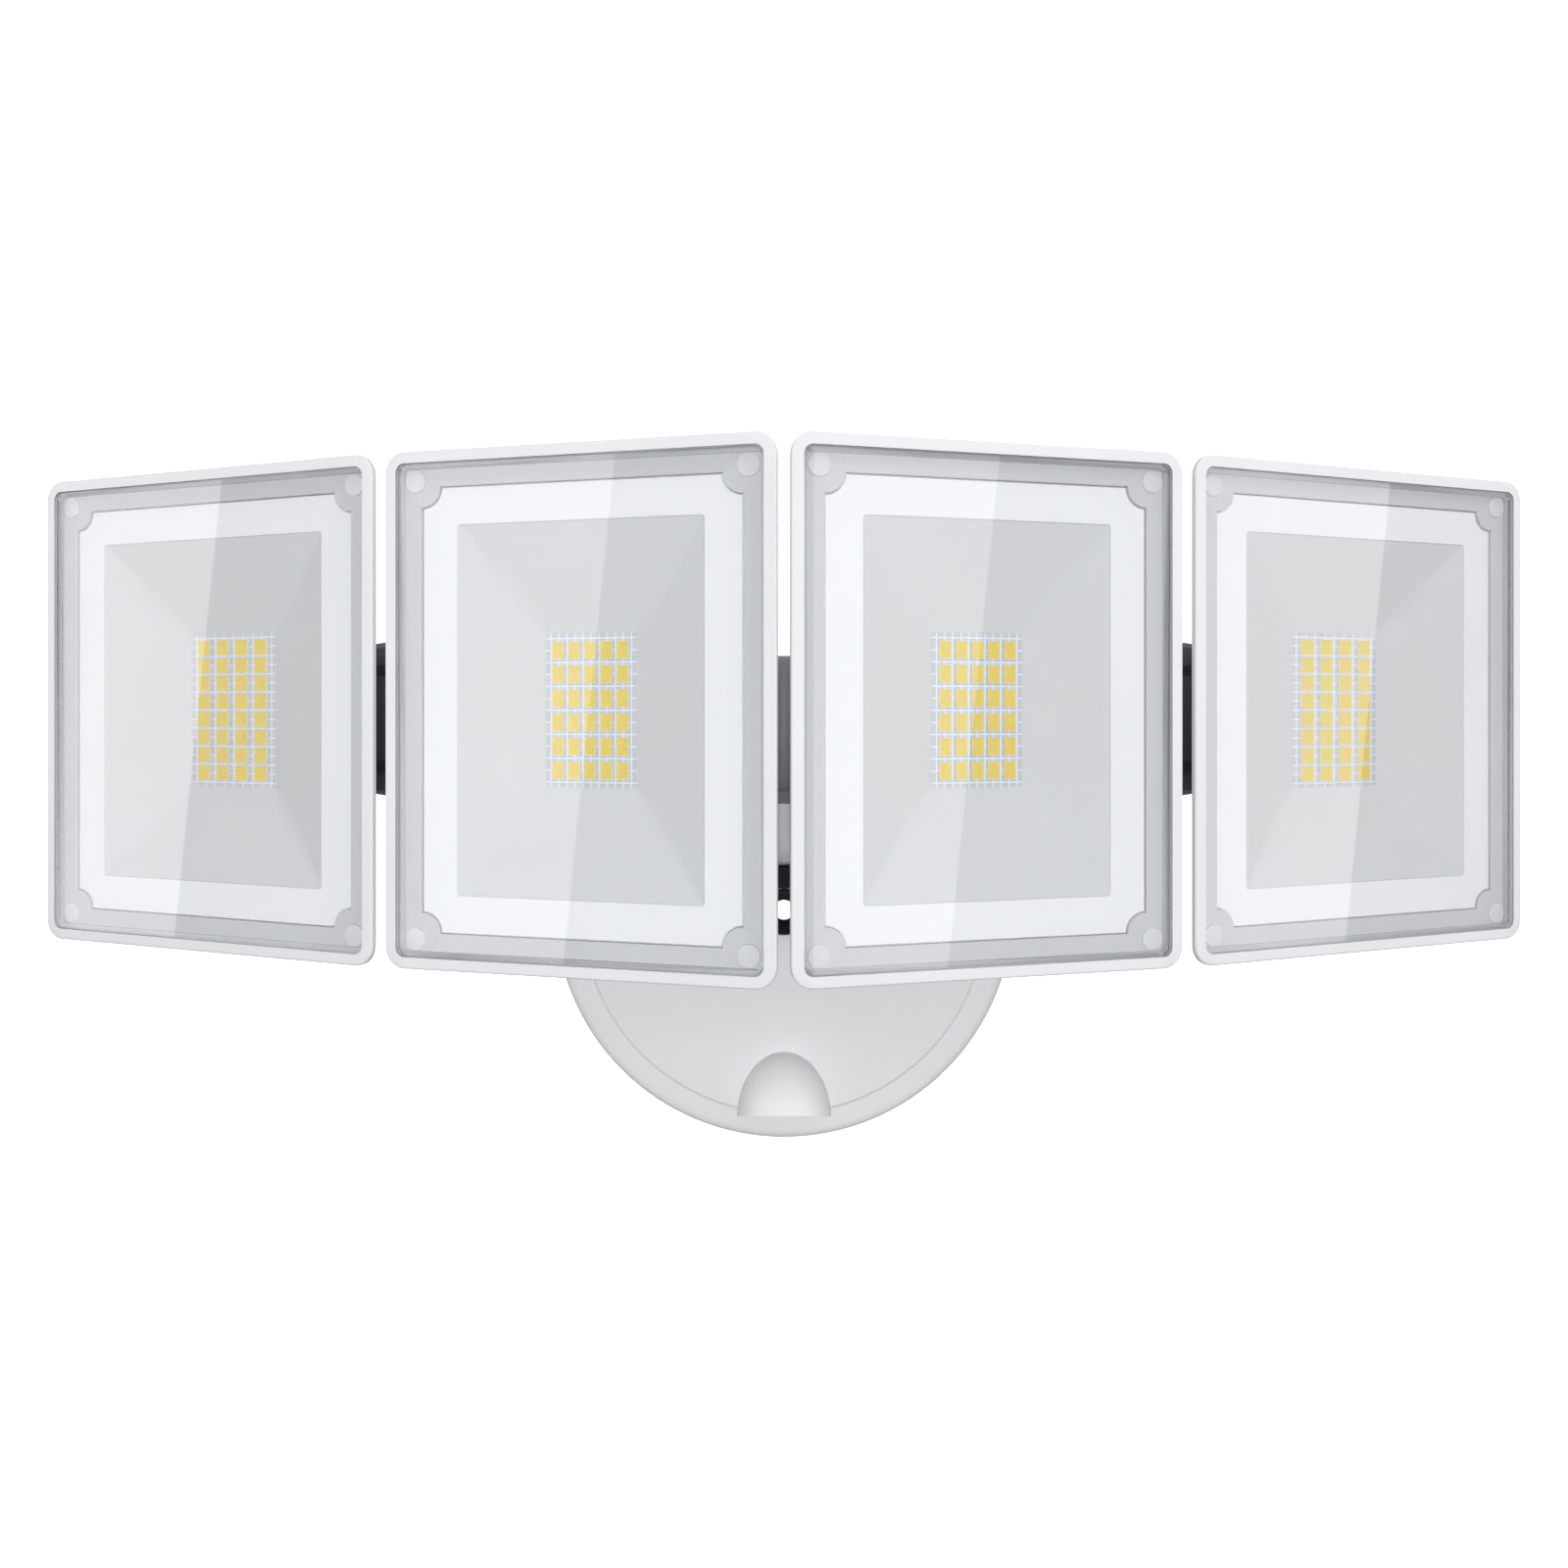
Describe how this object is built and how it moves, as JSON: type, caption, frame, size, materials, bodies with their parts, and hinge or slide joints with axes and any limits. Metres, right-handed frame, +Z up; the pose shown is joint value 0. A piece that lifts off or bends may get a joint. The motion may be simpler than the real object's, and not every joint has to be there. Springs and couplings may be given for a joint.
{
  "type": "four-head motion sensor floodlight",
  "caption": "Wall floodlight with rectangular LED heads on tilting and swinging arms, a round base and a hooded motion sensor.",
  "frame": {"origin": "centre of the round base on the wall plane, which is also the mouth of the cable entry", "axes": "+Z up, +Y into the wall, -Y towards the viewer, +X to the viewer's right"},
  "size_m": [0.4078, 0.0919, 0.1912],
  "materials": {
    "white_housing": "white satin powder coat on cast alloy",
    "white_plastic": "satin moulded",
    "white_reflector": "satin reflective white",
    "clear_lens": "clear polished",
    "milky_lens": "milky translucent",
    "grey_gasket": "soft matte",
    "black_rubber": "matte",
    "foam": "closed cell foam",
    "charcoal": "fine grained charcoal",
    "led_board": "white solder mask",
    "led_phosphor": "yellow phosphor in clear resin",
    "green_board": "solder mask",
    "driver_black": "moulded",
    "sensor_clear": "clear resin",
    "grey_knob": "moulded",
    "steel": "zinc plated"
  },
  "bodies": {
    "base": {"back_plate": "white_plastic", "back_plate_screws": "steel", "canopy": "white_plastic", "centre_grommet": "black_rubber", "control_board": "green_board", "disc_screws": "steel", "driver_case": "driver_black", "front_disc": "white_plastic", "hub_front": "charcoal", "hub_rear": "charcoal", "hub_screws": "steel", "light_sensor": "sensor_clear", "motion_sensor": "steel", "neck": "white_plastic", "neck_seal": "black_rubber", "sensor_board": "green_board", "sensor_hood": "white_plastic", "sensor_lens": "milky_lens", "wall_gasket": "foam"},
    "inner_head_left": {"inner_housing_left": "white_housing", "inner_lens_left": "clear_lens", "inner_lens_gasket_left": "grey_gasket", "inner_reflector_left": "white_reflector", "inner_led_board_left": "led_board", "inner_led_chips_left": "led_phosphor", "inner_lens_screws_left": "steel", "inner_bracket_left": "charcoal", "inner_hinge_pin_left": "steel"},
    "outer_head_left": {"outer_housing_left": "white_housing", "outer_lens_left": "clear_lens", "outer_lens_gasket_left": "grey_gasket", "outer_reflector_left": "white_reflector", "outer_led_board_left": "led_board", "outer_led_chips_left": "led_phosphor", "outer_lens_screws_left": "steel", "outer_bracket_left": "charcoal", "outer_hinge_pin_left": "steel"},
    "knuckle_left": {"tilt_knuckle_left": "charcoal"},
    "inner_head_right": {"inner_housing_right": "white_housing", "inner_lens_right": "clear_lens", "inner_lens_gasket_right": "grey_gasket", "inner_reflector_right": "white_reflector", "inner_led_board_right": "led_board", "inner_led_chips_right": "led_phosphor", "inner_lens_screws_right": "steel", "inner_bracket_right": "charcoal", "inner_hinge_pin_right": "steel"},
    "outer_head_right": {"outer_housing_right": "white_housing", "outer_lens_right": "clear_lens", "outer_lens_gasket_right": "grey_gasket", "outer_reflector_right": "white_reflector", "outer_led_board_right": "led_board", "outer_led_chips_right": "led_phosphor", "outer_lens_screws_right": "steel", "outer_bracket_right": "charcoal", "outer_hinge_pin_right": "steel"},
    "knuckle_right": {"tilt_knuckle_right": "charcoal"},
    "time_knob": {"time_knob": "grey_knob"},
    "light_knob": {"light_knob": "grey_knob"},
    "range_knob": {"range_knob": "grey_knob"}
  },
  "joints": [
    {"name": "tilt_left", "type": "hinge", "parent": "base", "child": "knuckle_left", "pos_m": [-0.012, -0.0502, 0.053], "axis": [1, 0, 0], "range_deg": [-40, 30]},
    {"name": "inner_swing_left", "type": "hinge", "parent": "knuckle_left", "child": "inner_head_left", "pos_m": [-0.024, -0.048, 0.053], "axis": [0, 0, -1], "range_deg": [-1, 10]},
    {"name": "outer_swing_left", "type": "hinge", "parent": "inner_head_left", "child": "outer_head_left", "pos_m": [-0.08843, -0.0357, 0.0553], "axis": [0, 0, -1], "range_deg": [-3, 30]},
    {"name": "tilt_right", "type": "hinge", "parent": "base", "child": "knuckle_right", "pos_m": [0.012, -0.0502, 0.053], "axis": [1, 0, 0], "range_deg": [-40, 30]},
    {"name": "inner_swing_right", "type": "hinge", "parent": "knuckle_right", "child": "inner_head_right", "pos_m": [0.024, -0.048, 0.053], "axis": [0, 0, 1], "range_deg": [-1, 10]},
    {"name": "outer_swing_right", "type": "hinge", "parent": "inner_head_right", "child": "outer_head_right", "pos_m": [0.08843, -0.0357, 0.0553], "axis": [0, 0, 1], "range_deg": [-3, 30]},
    {"name": "time_knob_turn", "type": "hinge", "parent": "base", "child": "time_knob", "pos_m": [-0.016, -0.011, -0.066], "axis": [0, 0, 1], "range_deg": [0, 270]},
    {"name": "light_knob_turn", "type": "hinge", "parent": "base", "child": "light_knob", "pos_m": [0, -0.011, -0.066], "axis": [0, 0, 1], "range_deg": [0, 270]},
    {"name": "range_knob_turn", "type": "hinge", "parent": "base", "child": "range_knob", "pos_m": [0.016, -0.011, -0.066], "axis": [0, 0, 1], "range_deg": [0, 270]}
  ]
}
